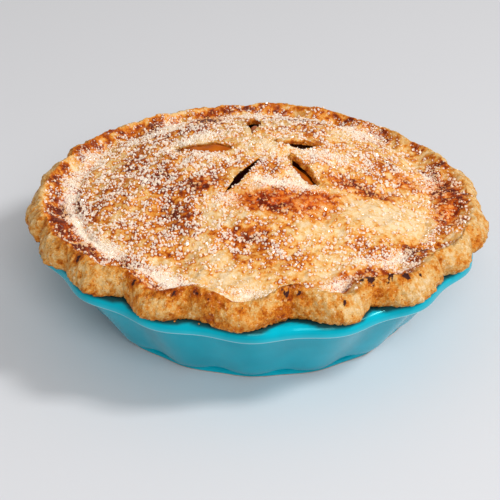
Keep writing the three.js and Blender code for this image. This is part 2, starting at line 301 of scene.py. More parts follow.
def connect(tree, shader, sockets):
    for name, socket in sockets.items():
        tree.links.new(socket, shader.inputs[name])


def object_place(tree):
    return add_node(tree, "ShaderNodeTexCoord").outputs["Object"]


def noise_of(tree, scale, detail=2, roughness=0.5):
    """Noise over the piece's own place. At a scale of 100 its lumps are about a centimetre apart."""
    inputs = {"Vector": object_place(tree), "Scale": scale, "Detail": detail, "Roughness": roughness}
    return add_node(tree, "ShaderNodeTexNoise", inputs).outputs["Fac"]


def attribute(tree, name):
    return add_node(tree, "ShaderNodeAttribute", attribute_name=name).outputs["Fac"]


def combined(tree, operation, first, second):
    inputs = {0: first, 1: second}
    return add_node(tree, "ShaderNodeMath", inputs, operation=operation).outputs["Value"]


def times(tree, first, second):
    return combined(tree, "MULTIPLY", first, second)


def colour_ramp(tree, factor, stops):
    """A ramp through (position, colour) stops, read at a factor socket. Gives its colour socket."""
    ramp = add_node(tree, "ShaderNodeValToRGB", {"Fac": factor})
    elements = ramp.color_ramp.elements
    while len(elements) < len(stops):
        elements.new(1)
    for element, (position, colour) in zip(elements, stops):
        element.position = position
        element.color = (*colour, 1)
    return ramp.outputs["Color"]


def mixed(tree, factor, first, second, blend="MIX"):
    """first where factor is 0, second blended in where it is 1. Both are colours or colour sockets."""
    inputs = {0: factor, 6: first, 7: second}
    return add_node(tree, "ShaderNodeMix", inputs, data_type="RGBA", blend_type=blend).outputs[2]


def bumped(tree, height, distance, strength):
    """The normal of a bump whose full height is that distance."""
    inputs = {"Strength": strength, "Distance": distance * MM, "Height": height}
    return add_node(tree, "ShaderNodeBump", inputs).outputs["Normal"]


GLAZE_TONES = [(0.3, (0.0005, 0.30, 0.40)), (0.55, (0.0005, 0.355, 0.47)), (0.75, (0.001, 0.40, 0.52))]
SPECK_COLOUR = (0.012, 0.05, 0.06, 1)
# Painted shadow: a dark line on the rim round the crust's foot, where the crust overhangs it.
PAINTED_RIM_SHADOW_COLOUR = (0.012, 0.028, 0.026, 1)

teal_glaze, tree, shader = new_material(
    "teal_glaze",
    {"Specular IOR Level": 0.20, "Specular Tint": (0.25, 1, 1, 1), "Roughness": 0.17, "IOR": 1.52},
)
tone = colour_ramp(tree, noise_of(tree, 38, 3), GLAZE_TONES)
cells = {"Vector": object_place(tree), "Scale": 120}
speck = add_node(tree, "ShaderNodeTexVoronoi", cells).outputs["Distance"]
speck_mask = colour_ramp(tree, speck, [(0.045, (1, 1, 1)), (0.075, (0, 0, 0))])
pick_mask = colour_ramp(tree, noise_of(tree, 55), [(0.62, (0, 0, 0)), (0.66, (1, 1, 1))])
specked = mixed(tree, times(tree, speck_mask, pick_mask), tone, SPECK_COLOUR)
# Paler thin glaze, and a painted highlight, along the rim's lower edge.
paled_and_highlit = mixed(tree, attribute(tree, "thin_glaze_and_highlight"), specked, THIN_GLAZE_AND_HIGHLIGHT_COLOUR)
# Painted shadow on the rim round the crust's foot.
rim_shadowed = mixed(tree, attribute(tree, "painted_rim_shadow"), paled_and_highlit, PAINTED_RIM_SHADOW_COLOUR)
connect(tree, shader, {"Base Color": rim_shadowed, "Normal": bumped(tree, noise_of(tree, 90), 0.6, 0.25)})

bare_clay, tree, shader = new_material("bare_clay", {"Roughness": 0.85})
grit = noise_of(tree, 900, 4)
clay = colour_ramp(tree, grit, [(0.3, (0.30, 0.17, 0.11)), (0.7, (0.52, 0.34, 0.25))])
connect(tree, shader, {"Base Color": clay, "Normal": bumped(tree, grit, 0.2, 0.5)})

dish.data.materials.append(teal_glaze)
dish.data.materials.append(bare_clay)
for face in dish.data.polygons:
    face.material_index = int(face.center.z < BARE_FOOT_HEIGHT * MM)
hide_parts("pie_dish")
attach(dish, "root")

# ---- Crust ----
# Short pastry, rolled out and laid over the apples, with its margin rolled up and pushed into
# scallops between finger and thumb. It is egg-washed, slit five times and baked until it browns.

GAP = 0.3
LID_RADIUS = 110
LID_EDGE_HEIGHT = 68
# Where the lid lies further in, and where the groove round it is deeper: bearing, spread and depth.
LID_SQUEEZE = (78, 32, 6)
GROOVES = [(-72, 34, 3), (68, 26, 2)]
DOME_RISE = 25
DOME_POWER = 1.7
DOME_SHIFT = (2, 24)
LID_THICKNESS = 5
THIN_LID, THIN_LID_RADIUS = 2.3, 50
CREST_HEIGHT = 72.4
CREST_TILT = 2.3
CREST_INSET = 5
LOBE_ROUNDING = 4
EDGE_BULGE = 1.4
EDGE_TUCK = 4.5
# Below this share of its outer face the crust turns in under itself.
FOOT_SHARE = 0.88
DENT_DEPTH = 3.5
NOTCH_PINCH = 1
SCALLOP_POWER = 1.7
LID_CELLS = 250
FACE_RINGS = 15
# How soon the outer face bends over below the crest, and how it steepens on its way down.
FACE_TURN, FACE_FALL = 0.62, 1.25
# Where a thumb pressed the crest down, and the humps beside it: bearing, spread and depth.
THUMB_DENTS = [
    (-28, 6, 3.2), (-2.5, 5.5, 3), (24, 5, 3.2), (47, 5, 1.8), (-37, 4, -1.2), (-15, 6, -1.8),
    (10, 5, -1.8), (35, 6, -1.4), (58, 4, -0.8),
]
# Pleats, where one scallop folds over the next: bearing, depth, and how far the left side stands out.
PLEATS = [
    (-71, 2.4, 1.6), (-55, 1.2, 0.8), (-35, 0.9, -0.5), (-16, 0.5, -0.5), (8.7, 0.9, 0.5),
    (30, 0.8, 0.6), (53, 2.2, 2.2), (69, 2.2, -1.6), (90, 1.4, 0.8), (108, 1.2, 0.6), (146, 1, 0.5),
    (185, 1.2, -0.6), (215, 1, 0.6), (249, 1.2, 0.8), (267, 1.2, -0.8),
]
PLEAT_WIDTH = 1.3

# Scallops of the edge, round from the left: bearing and reach of a lobe, then of the notch after it.
SCALLOPS = [
    (-82, 140, -71, 137), (-61, 141, -55, 135.5), (-44, 140, -35, 130), (-24.5, 141, -16, 131),
    (-4, 139.5, 8.7, 126), (22, 139, 30, 129), (40, 140, 53, 133), (61, 140.5, 69, 136.6),
    (78, 140.5, 90, 133), (100, 136, 108, 129), (118, 132, 127, 125.5), (138, 130.5, 146, 128),
    (154, 133, 162, 129), (172, 133.5, 185, 127), (197, 130.5, 202, 128), (208, 131, 215, 128),
    (226, 131, 233, 129.5), (240, 133.5, 249, 131.5), (256, 136, 267, 134.5),
]

# Lumps of the lid over the apples, and hollows between them: x, y, spread and rise.
LUMPS = [
    (3, 24, 34, 2.2), (14, -40, 17, 2), (-6, -57, 9, 1.6), (-5, -73, 11, -3), (-54, -42, 13, -2.6),
    (-32, -20, 14, 1.6), (-46, -83, 11, -2.4), (-26, -66, 10, 1.6), (-80, -18, 15, 1.8),
    (-72, 22, 17, -1.8), (-48, 52, 18, 2), (75, -44, 19, 2.4), (44, -72, 13, -2), (66, -12, 12, -1.6),
    (74, 24, 14, 1.6), (40, 62, 16, 1.8), (-4, 78, 16, -1.6),
]

# Steam vents cut in a star: both ends, width, where along it that is, lift of one lip, which side
# that is, and how far the knife leaned as it went down.
VENT_FACTS = ("start", "end", "width", "belly", "lift", "side", "lean")
VENTS = [
    dict(zip(VENT_FACTS, (np.array(start, float), np.array(end, float), *cut)))
    for start, end, *cut in (
        ((-13.5, 14), (-52, 25), 10, 0.48, 0.7, -1, -0.2),
        ((-4.5, 31), (-2, 84), 9.5, 0.74, 0.2, 1, 0.1),
        ((12, 17.3), (39, 25.5), 8.5, 0.48, 1.2, 1, -0.15),
        ((17, 6), (38.5, -20), 9, 0.55, 1.0, 1, -0.8),
        ((-0.5, 4), (-17.8, -32), 6.2, 0.5, 0.2, -1, -0.6),
    )
]
PRESSED_LIP = 0.3

stations = np.array(
    [row for lobe, far, notch, near in SCALLOPS for row in ((lobe, far, 1), (notch, near, 0))]
    + [(SCALLOPS[0][0] + 360, SCALLOPS[0][1], 1)]
)


def place_at(bearing, radius):
    angle = np.radians(bearing)
    return radius * np.sin(angle), -radius * np.cos(angle)


def edge_at(bearing):
    """How much of a lobe (1) or a notch (0) the edge is at a bearing, and its reach there."""
    turned = (np.asarray(bearing) - stations[0, 0]) % 360 + stations[0, 0]
    k = np.clip(np.searchsorted(stations[:, 0], turned), 1, len(stations) - 1)
    before, after = stations[k - 1], stations[k]
    share = (turned - before[..., 0]) / (after[..., 0] - before[..., 0])
    leaving = before[..., 2] > 0
    lobe = np.sin(np.pi / 2 * np.where(leaving, 1 - share, share)) ** SCALLOP_POWER
    notch_reach = np.where(leaving, after[..., 1], before[..., 1])
    lobe_reach = np.where(leaving, before[..., 1], after[..., 1])
    return lobe, notch_reach + (lobe_reach - notch_reach) * lobe


def near_bearing(bearing, middle, spread):
    """A smooth bump round one bearing, 1 at its middle."""
    away = (bearing - middle + 180) % 360 - 180
    return np.exp(-((away / spread) ** 2))


def crest_height(bearing):
    lobe, _ = edge_at(bearing)
    dents = sum(depth * near_bearing(bearing, middle, spread) for middle, spread, depth in THUMB_DENTS)
    return CREST_HEIGHT + CREST_TILT * np.cos(np.radians(bearing)) + NOTCH_PINCH * (1 - lobe) - dents


def crest_radius(bearing):
    lobe, reach = edge_at(bearing)
    return reach - CREST_INSET - LOBE_ROUNDING * lobe


def lid_radius(bearing):
    middle, spread, depth = LID_SQUEEZE
    return LID_RADIUS - depth * near_bearing(bearing, middle, spread)


def dome_height(x, y):
    """The lid without its lumps."""
    edge = lid_radius(bearing_of(x, y))
    shift = 1 - np.minimum(np.hypot(x, y) / edge, 1) ** 2
    share = np.hypot(x - DOME_SHIFT[0] * shift, y - DOME_SHIFT[1] * shift) / edge
    return LID_EDGE_HEIGHT + DOME_RISE * np.maximum(1 - share**DOME_POWER, 0)


def pleated(bearing, z):
    """How far the pleats move the edge in or out. They lean a little as they climb."""
    total = np.zeros_like(bearing)
    for number, (middle, depth, step) in enumerate(PLEATS):
        lean = (z - 66) * (0.12 if number % 2 else -0.10)
        away = (bearing - middle - lean + 180) % 360 - 180
        total -= depth * np.exp(-np.abs(away / PLEAT_WIDTH) ** 1.4)
        total -= step * np.tanh(away / 0.7) * np.exp(-((away / 6) ** 2))
    return total


def crag(x, y, z):
    """Low waves of the baked dough, a few tenths of a millimetre high."""
    slow = np.sin(0.31 * x + 0.17 * z) * np.cos(0.27 * y - 0.11 * x)
    return 0.45 * slow + 0.25 * np.sin(0.83 * y + 0.59 * x + 0.41 * z)


def top_height(x, y):
    """The crust's top at a place: the domed lid, then the inner slope of the crimped edge."""
    radius, bearing = np.hypot(x, y), bearing_of(x, y)
    edge = lid_radius(bearing)
    lid = dome_height(x, y) + crag(x, y, 0)
    for lump_x, lump_y, spread, rise in LUMPS:
        lid = lid + rise * np.exp(-((x - lump_x) ** 2 + (y - lump_y) ** 2) / spread**2)
    share = np.clip((radius - edge) / (crest_radius(bearing) - edge), 0, 1)
    groove = LID_EDGE_HEIGHT - sum(d * near_bearing(bearing, m, s) for m, s, d in GROOVES)
    rise = groove + (crest_height(bearing) - groove) * share**0.8
    dent = DENT_DEPTH * edge_at(bearing)[0] * np.sin(np.pi * share**1.2)
    slope = np.maximum(rise - dent, LID_EDGE_HEIGHT - 3) + crag(x, y, 0)
    return np.where(radius <= edge, lid, slope)


def along_and_across(vent, x, y):
    """A place measured along a vent, 0 to 1 from tip to tip, and in millimetres across it."""
    way = vent["end"] - vent["start"]
    length = np.linalg.norm(way)
    unit = way / length
    away_x, away_y = x - vent["start"][0], y - vent["start"][1]
    return (away_x * unit[0] + away_y * unit[1]) / length, away_y * unit[0] - away_x * unit[1]


def lip_of(vent, across):
    """How far the knife lifted one lip of a vent, and pressed down the other."""
    return np.where(across * vent["side"] > 0, vent["lift"], -PRESSED_LIP)


def noise_at(points, size, octaves=3, turn=0.0):
    """Fractal noise over points in millimetres, about -1 to 1, with lumps of about that size."""
    scaled = np.asarray(points) / size + turn
    return np.array([noise.fractal(Vector(p), 1.0, 2.0, octaves) for p in scaled])


def ridges_at(points, size, turn=0.0):
    """Thin creases over points in millimetres: 1 on a crease and falling to 0 away from it."""
    return 1 - np.minimum(np.abs(noise_at(points, size, 2, turn)) * 3, 1)


def square_to_disc(u, v):
    """A square grid from -1 to 1 drawn in to a disc, evenly."""
    wide = np.abs(u) >= np.abs(v)
    big = np.where(wide, u, v)
    safe = np.where(big == 0, 1, big)
    angle = np.where(wide, np.pi / 4 * v / safe, np.pi / 2 - np.pi / 4 * u / safe)
    return big * np.cos(angle), big * np.sin(angle)


def flat_disc(name, cells):
    """A piece that starts as a sheet of small squares, and its places on a disc of radius 1."""
    grid = {"x_subdivisions": cells, "y_subdivisions": cells, "size": 2}
    piece = added_piece(bpy.ops.mesh.primitive_grid_add, **grid)
    piece.name = name
    flat = coordinates(piece.data) * MM
    return piece, *square_to_disc(flat[:, 0], flat[:, 1])


crust, disc_x, disc_y = flat_disc("baked_crust", LID_CELLS)
bearings = bearing_of(disc_x, disc_y)
top_x, top_y = place_at(bearings, np.hypot(disc_x, disc_y) * crest_radius(bearings))
top = np.stack([top_x, top_y, top_height(top_x, top_y)], -1)
for vent in VENTS:
    along, across = along_and_across(vent, top[:, 0], top[:, 1])
    beside = np.exp(-(((np.abs(across) - vent["width"] / 2) / 3.5) ** 2))
    within = np.exp(-(((along - 0.5) / 0.42) ** 4))
    top[:, 2] += lip_of(vent, across) * beside * within
set_coordinates(crust.data, top)


def select_open_edge(piece):
    """Opens a piece for editing, with its open edge selected."""
    open_for_edit(piece, "EDGE")
    bpy.ops.mesh.select_all(action="DESELECT")
    bpy.ops.mesh.select_non_manifold()


def next_ring(piece, place_ring):
    """Extrudes the open edge once more and puts its points where place_ring(bearing) says."""
    bpy.ops.mesh.extrude_edges_move()
    edit = bmesh.from_edit_mesh(piece.data)
    ring = [vertex for vertex in edit.verts if vertex.select]
    bearing = bearing_of(np.array([v.co.x for v in ring]), np.array([v.co.y for v in ring]))
    radius, z = place_ring(bearing)
    for vertex, *place in zip(ring, *place_at(bearing, radius), z):
        vertex.co = [value * MM for value in place]
    bmesh.update_edit_mesh(piece.data)


def outer_face(share):
    """One ring of the edge's bulging outer face: share 0 at the crest, 1 at its foot."""

    def ring(bearing):
        lobe, reach = edge_at(bearing)
        turn = min(share * np.pi * FACE_TURN, np.pi / 2)
        out = reach - (CREST_INSET + LOBE_ROUNDING * lobe) * (1 - math.sin(turn))
        tuck = EDGE_TUCK * smooth_share(share, FOOT_SHARE - 0.06, 1) * (0.7 + 0.3 * lobe)
        bulge = EDGE_BULGE * math.sin(np.pi * share)
        fall = min(share / FOOT_SHARE, 1) ** FACE_FALL
        z = crest_height(bearing) + (DISH_HEIGHT + 4 * GAP - crest_height(bearing)) * fall
        return out + bulge - tuck + crag(out, 3 * bearing, 2 * z), z

    return ring


def level_ring(radius, z):
    """One ring of the crust's underside, where it rests on the flange."""
    return lambda bearing: (np.full_like(bearing, radius), np.full_like(bearing, z))


def lining(radius):
    """One ring of the lid's underside. The lid is rolled thinner over the middle."""

    def ring(bearing):
        x, y = place_at(bearing, radius)
        under = dome_height(x, y) - LID_THICKNESS + (radius < 70)
        if radius < THIN_LID_RADIUS:
            under = top_height(x, y) - THIN_LID
        return np.full_like(bearing, radius), under

    return ring


select_open_edge(crust)
for k in range(1, FACE_RINGS + 1):
    next_ring(crust, outer_face(k / FACE_RINGS))
for radius, z in ((FLANGE_INNER_RADIUS + 1, 57.9), (FLANGE_INNER_RADIUS - 5, 58.5)):
    next_ring(crust, level_ring(radius, z))
for radius in (98, 80, 60, 49, 40, 20, 6):
    next_ring(crust, lining(radius))
bpy.ops.mesh.merge(type="CENTER")
turn_faces_out()


def leaf(vent, steps=18):
    """The outline of a vent: a pointed leaf between two tips."""
    start, end = vent["start"], vent["end"]
    unit = (end - start) / np.linalg.norm(end - start)
    side = np.array([-unit[1], unit[0]]) * vent["width"]
    belly = start + vent["belly"] * (end - start)
    shares = np.arange(steps) / steps
    return arc(start, belly + side, end, shares) + arc(end, belly - side, start, shares)


CUT_START, CUT_STEP, CUT_RINGS = 15, 1, 30

for vent in VENTS:
    outline = leaf(vent)
    plate = {"vertices": len(outline), "radius": 1, "fill_type": "NGON"}
    cutter = added_piece(bpy.ops.mesh.primitive_circle_add, **plate)
    way = vent["end"] - vent["start"]
    tilt = np.array([-way[1], way[0]]) / np.linalg.norm(way) * vent["lean"]
    middle = (vent["start"] + vent["end"]) / 2
    foot = tilt * (float(top_height(*middle[:, None])[0]) - DISH_HEIGHT)
    set_coordinates(cutter.data, [(x + foot[0], y + foot[1], DISH_HEIGHT) for x, y in outline])
    open_for_edit(cutter, "FACE")
    for rise in [CUT_START] + [CUT_STEP] * CUT_RINGS:
        move = (-tilt[0] * rise * MM, -tilt[1] * rise * MM, rise * MM)
        bpy.ops.mesh.extrude_region_move(TRANSFORM_OT_translate={"value": move})
    turn_faces_out()
    select_only(crust)
    bpy.ops.object.modifier_add(type="BOOLEAN")
    cut = crust.modifiers[-1]
    cut.object = cutter
    cut.operation = "DIFFERENCE"
    cut.solver = "MANIFOLD"
    bpy.ops.object.modifier_apply(modifier=cut.name)
    bpy.data.objects.remove(cutter)

# Faces that the cuts left with many corners are split before the relief bends them, and the cuts
# are trimmed of slivers and loose flaps.
open_for_edit(crust, "FACE")
bpy.ops.mesh.remove_doubles(threshold=DOUBLES * MM)
bpy.ops.mesh.select_all(action="DESELECT")
bpy.ops.mesh.select_face_by_sides(number=4, type="GREATER")
bpy.ops.mesh.quads_convert_to_tris(ngon_method="BEAUTY")
edit = bmesh.from_edit_mesh(crust.data)
flaps = [face for face in edit.faces if any(len(edge.link_faces) == 1 for edge in face.edges)]
bmesh.ops.delete(edit, geom=flaps, context="FACES")
bmesh.update_edit_mesh(crust.data)
bpy.ops.object.mode_set(mode="OBJECT")

# Relief of the baked dough: slow swells, creases, blisters and the flaky outer face.
SWELL_SIZE, SWELL_RISE = 15, 1.5
DIMPLE_SIZE, DIMPLE_RISE = 6.5, 0.55
CREASE_SIZE, CREASE_DEPTH = 10, 0.55
BLISTER_SIZE, BLISTER_RISE = 3.6, 0.55
FLAKE_SIZE, FLAKE_RISE = 6, 0.8
CRACK_SIZE, CRACK_DEPTH = 4.5, 0.9
FINGER_DEPTH, SHOULDER_RISE = 1.2, 0.7
BOX_MARGIN = 0.05
# Where the lid tucks in under the crimp, at the left, and the low fold that bows round in front of
# the vents.
TUCK_BEARING, TUCK_DEPTH = -77, 1.5
FOLD = {"middle": (-3, -20), "radius": 41, "from": -12, "to": 28, "height": 1.3}

normals = threes(crust.data.vertices, "normal")
points = coordinates(crust.data)
x, y, z = points.T
radius, bearings = round_the_pie(points)

# Only what shows gets relief: neither the lining under the lid nor the ring that rests on the dish.
surface, dome = top_height(x, y), dome_height(x, y)
lining_top = np.where(radius < 55, surface - THIN_LID + 0.3, dome - LID_THICKNESS + 1.4)
under_lid = (radius < FLANGE_INNER_RADIUS + 2) & (z < lining_top)
seen = np.where(under_lid, 0, smooth_share(z, 57.95, 58.15))
above_foot = smooth_share(z, 58, 61)
past_crest = radius - crest_radius(bearings)
outer = smooth_share(past_crest, -1.5, 1.5) * seen

# The cut walls of the vents: a point below the lid's top and right beside a cut.
cut_wall = np.zeros(len(points))
for vent in VENTS:
    along, across = along_and_across(vent, x, y)
    close = (np.abs(across) < vent["width"] / 2 + 1) & (np.abs(along - 0.5) < 0.53)
    deep = smooth_share(surface - z + lip_of(vent, across), 0.4, 1.2)
    cut_wall = np.maximum(cut_wall, close * deep)

swell = noise_at(points, SWELL_SIZE, 2)
crease = ridges_at(points * (1, 1, 0.3), CREASE_SIZE, 3.7) ** 3
blister = np.maximum(noise_at(points, BLISTER_SIZE, 2, 9.1), 0)
flake = noise_at(points * (1, 1, 1.5), FLAKE_SIZE, 4, 5.5)
crack = ridges_at(points * (1, 1, 1.7), CRACK_SIZE, 15.2) ** 4
dimple = noise_at(points, DIMPLE_SIZE, 2, 27.0)
relief = (SWELL_RISE * swell + BLISTER_RISE * blister) * above_foot
relief += (DIMPLE_RISE * dimple - CREASE_DEPTH * crease) * (1 - outer)
relief += outer * (FLAKE_RISE * flake - CRACK_DEPTH * crack)
at_edge = np.exp(-(((radius - lid_radius(bearings) + 0.5) / 1.3) ** 2))
relief -= TUCK_DEPTH * at_edge * near_bearing(bearings, TUCK_BEARING, 18)
# Each scallop is hollowed a little deeper by the finger, and its shoulder stands up round the hollow.
lobe_here, _ = edge_at(bearings)
relief -= FINGER_DEPTH * lobe_here * np.exp(-(((past_crest + 12) / 5) ** 2)) * (1 - outer)
relief += SHOULDER_RISE * lobe_here * np.exp(-(((past_crest + 1) / 3.5) ** 2))
from_fold, fold_bearing = round_the_pie(points[:, :2] - FOLD["middle"])
on_fold = smooth_share(fold_bearing, FOLD["from"] - 6, FOLD["from"] + 4)
on_fold *= 1 - smooth_share(fold_bearing, FOLD["to"] - 4, FOLD["to"] + 6)
from_fold -= FOLD["radius"]
from_fold /= np.where(from_fold > 0, 1.5, 5)
relief += FOLD["height"] * on_fold * np.exp(-(from_fold**2))
points += normals * (relief * seen * (1 - 0.6 * cut_wall))[:, None]
reach_of_pleats = smooth_share(past_crest, -9, 0) * seen
push = pleated(bearings, z) * reach_of_pleats
points[:, :2] += np.stack(place_at(bearings, push * outer), -1)
points[:, 2] += 0.45 * push * (1 - outer)
low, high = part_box("pie_crust")
crust_low, crust_high = np.array(low) / MM, np.array(high) / MM
points = np.clip(points, crust_low + BOX_MARGIN, crust_high - BOX_MARGIN)
set_coordinates(crust.data, points)
select_only(crust)
bpy.ops.object.shade_smooth()

# Where coarse sugar was strewn, and browned the crust round it, with painted shade between the crystals
# too: x, y, half-widths, turn, how much.
SUGARY = [
    (-62, -20, 42, 50, 0, 0.85), (-20, -66, 36, 18, 0, 0.6), (0, 10, 50, 26, 0, 0.5),
    (3, 15, 17, 8, 0, -0.45), (-60, 46, 40, 26, 0, 0.6), (60, 20, 42, 26, 0, 0.5),
    (86, 0, 18, 30, 0, 0.3), (60, -75, 26, 10, 10, 0.5), (0, 90, 90, 30, 0, 0.27),
    (112, -10, 12, 34, 0, 0.5), (-108, -20, 16, 60, 0, 0.8), (-74, -82, 34, 12, -40, 0.8),
    (20, -40, 28, 10, 0, 0.25), (0, -80, 44, 14, 0, 0.3), (60, -62, 30, 12, 10, 0.25),
    (-34, -21, 9, 6, 0, -0.35), (-52, -40, 10, 10, 0, -0.25), (-34, 86, 9, 24, 0, -0.2),
]
# Where it browned, and where the shade in the lid's hollows and along the groove at the left is painted
# in: x, y, half-widths along and across, turn in degrees, and how dark.
BROWNING_AND_SHADE_PATCHES = [
    (12, -37, 24, 12, -8, 0.2), (-2, -35, 9, 6, 0, 0.24), (10, -44, 14, 6, -10, 0.2),
    (24, -44, 13, 6, -5, 0.2), (40, -30, 11, 6, 12, 0.26), (47, -36, 7, 4, 0, 0.16),
    (18, -27, 12, 5, 0, 0.2), (-34, -21, 11, 7, 0, 0.5), (-30, -11, 7, 5, 0, 0.2),
    (-52, -40, 9, 9, 0, 0.38), (-42, -45, 5, 12, 20, 0.2), (-50, -56, 10, 9, 0, 0.2),
    (-36, -44, 8, 6, 0, 0.12), (-55, -24, 10, 8, 0, 0.12), (-86, -16, 13, 9, 80, 0.2),
    (-60, -4, 9, 12, 0, 0.26), (-76, 12, 12, 10, 20, 0.12), (-78, 28, 9, 14, 0, 0.28),
    (-100, -26, 5, 10, 0, 0.22), (-56, 47, 14, 6, 15, 0.24), (-94, -36, 26, 5, -62, 0.18),
    (-76, -56, 14, 6, -50, 0.16), (-4, -69, 13, 7, 0, 0.42), (-2, -57, 9, 5, 0, 0.26),
    (-20, -67, 8, 5, 0, 0.22), (14, -62, 10, 5, 0, 0.14), (-5, -86, 8, 11, 0, 0.26),
    (18, -84, 16, 7, 0, 0.12), (-50, -77, 10, 5, -20, 0.26), (-62, -66, 8, 4, -20, 0.1),
    (54, -9, 10, 8, -20, 0.48), (62, -18, 9, 5, -15, 0.42), (73, -18, 7, 7, -15, 0.44),
    (90, 9, 9, 8, 0, 0.3), (79, 25, 6, 10, 0, 0.42), (66, 4, 10, 5, 0, 0.14), (62, -64, 14, 6, 0, 0.18),
    (70, -74, 12, 6, 0, 0.18), (72, -52, 8, 4, 0, 0.14), (48, 34, 12, 6, -10, 0.2),
    (24, 48, 16, 8, 0, 0.3), (-36, 86, 8, 28, 0, 0.85), (-68, 80, 6, 24, 0, 0.3),
    (30, 88, 12, 22, 0, 0.16), (60, 82, 10, 18, 0, 0.12), (-26, 84, 5, 26, 0, 0.36),
    (-16, 76, 10, 20, 0, 0.14), (20, 84, 14, 16, 0, 0.26), (42, 84, 7, 24, 0, 0.3),
    (72, 60, 9, 16, 0, 0.2), (-74, 76, 10, 16, 0, 0.2), (8, -6, 8, 6, 0, 0.2),
    (-18, -7, 9, 6, 40, 0.18), (113, -28, 14, 7, 88, 0.46), (113, 8, 20, 7, 92, 0.54),
    (125, 0, 5, 18, 0, 0.3), (86, -66, 8, 8, 0, 0.2), (120, -8, 12, 5, 100, 0.3),
    (110, 38, 12, 7, 70, 0.42), (102, 62, 12, 6, 50, 0.36), (104, -56, 12, 6, 70, 0.36),
    (91, -63, 9, 5, 60, 0.4), (94, -76, 9, 5, 60, 0.36), (50, -100, 7, 7, 20, 0.46),
    (64, -93, 7, 6, 20, 0.42), (76, -91, 7, 7, 20, 0.44), (88, -92, 7, 6, 0, 0.26),
    (-118, -24, 18, 6, 88, 0.5), (-112, -52, 15, 8, -66, 0.5), (-126, -24, 12, 5, 80, 0.24),
    (-124, 16, 15, 5, 86, 0.5), (-100, -74, 12, 8, -50, 0.46), (-114, -66, 9, 5, -60, 0.24),
    (-103, -86, 9, 4, -50, 0.3), (-90, -94, 9, 5, -40, 0.3), (-74, -92, 10, 7, -20, 0.52),
    (-72, -83, 9, 7, 0, 0.34), (-71, -106, 8, 5, -40, 0.44), (-63, -117, 8, 5, -50, 0.22),
    (-50, -112, 9, 5, 0, 0.14), (-50, -123, 11, 3.5, 0, 0.42), (-36, -108, 10, 5, 0, 0.38),
    (-27, -126, 9, 3, -20, 0.22), (-14, -129, 10, 3, 0, 0.2), (20, -105, 9, 5, 0, 0.44),
    (22, -119, 14, 4, 0, 0.22), (64, -104, 6, 4, 0, 0.3), (80, -101, 9, 4, 0, 0.3),
    (-70, 88, 14, 5, 30, 0.34), (-100, 72, 14, 7, 50, 0.48), (-113, 49, 14, 7, 65, 0.46),
    (-97, -72, 8, 9, 0, 0.22), (-105, 5, 4, 12, 0, 0.18), (-52, 106, 12, 4, 20, 0.12),
    (-14, 116, 14, 6, 5, 0.42), (12, 124, 14, 5, 0, 0.52), (44, 114, 12, 5, -20, 0.3),
    (64, 106, 12, 7, -35, 0.5), (84, 84, 12, 5, -45, 0.34), (-58, -107, 10, 4, -35, 0.3),
    (-46, -115, 12, 4, -12, 0.34), (12, -41, 14, 7, -8, 0.12),
]
# Pale stretches, that the browning passed over: x, y, half-widths, turn and how much.
PALE_PATCHES = [
    (78, -40, 24, 14, 35, 0.16), (46, -84, 14, 8, 0, 0.2), (-20, -86, 7, 14, 30, 0.2),
    (-32, -74, 6, 10, 30, 0.16), (-13, -58, 8, 6, 0, 0.2), (-14, -102, 20, 5, 0, 0.16),
    (4, 20, 22, 12, 0, 0.12), (98, -24, 6, 22, 0, 0.14), (30, -60, 16, 5, 0, 0.12),
    (-40, 30, 16, 7, 15, 0.2), (50, 46, 12, 6, 0, 0.1), (-71, -17, 6, 9, 0, 0.24),
    (-68, -55, 9, 6, -40, 0.2), (5, -55, 6, 4, 0, 0.14), (3, -78, 7, 5, 0, 0.16),
    (0, -30, 6, 5, 0, 0.1), (46, 34, 12, 8, 0, 0.14), (-40, 26, 12, 5, 15, 0.14),
    (-86, -50, 16, 7, -55, 0.22), (-28, -52, 9, 7, 0, 0.16), (-48, 0, 6, 8, 0, 0.12),
    (58, -60, 10, 5, 0, 0.16), (42, -5, 8, 6, 0, 0.18), (116, -11, 5, 8, 0, 0.22),
    (-117, 36, 6, 9, 0, 0.25), (-14, -118, 14, 5, 0, 0.14), (-20, -40, 10, 6, 0, 0.14),
    (70, -28, 10, 5, 0, 0.12), (-103, -40, 20, 3, -63, 0.2), (-80, -66, 14, 3.5, -45, 0.22),
    (-57, -80, 18, 4, -5, 0.22), (-106, 6, 12, 3, 85, 0.2),
]
# Sugar syrup that boiled out and burnt on: x, y, z and radius of each spot.
BURNT_SPOTS = [
    (-92.8, -102.2, 59.3, 1.9), (-26.2, -128.1, 73.5, 1), (-32.4, -123.7, 74.1, 1.2),
    (-14.8, -129.6, 74.6, 1), (-7.6, -135.1, 71.8, 1.1), (16.8, -122.7, 74.2, 1.7),
    (23.4, -121.7, 73.7, 1.2), (20.7, -110, 69.5, 1.5), (49, -126.6, 71.1, 1.1),
    (62.5, -106.2, 74, 2.8), (58.5, -107, 74, 1.6), (73.5, -102.8, 73.6, 3), (75.5, -103.5, 74.4, 1.8),
    (82.8, -101.2, 74, 2.5), (84.3, -103.1, 74, 1.8), (91.4, -97, 72.9, 1.1), (93.4, -68, 71, 1.8),
    (-61.3, -120.5, 72.8, 1.5), (-67.8, -111.2, 73.1, 1.4), (-52.6, -123.4, 73.5, 1.2),
    (-45.5, -123.5, 73.6, 1), (-101, -87.5, 73, 1.7),
]
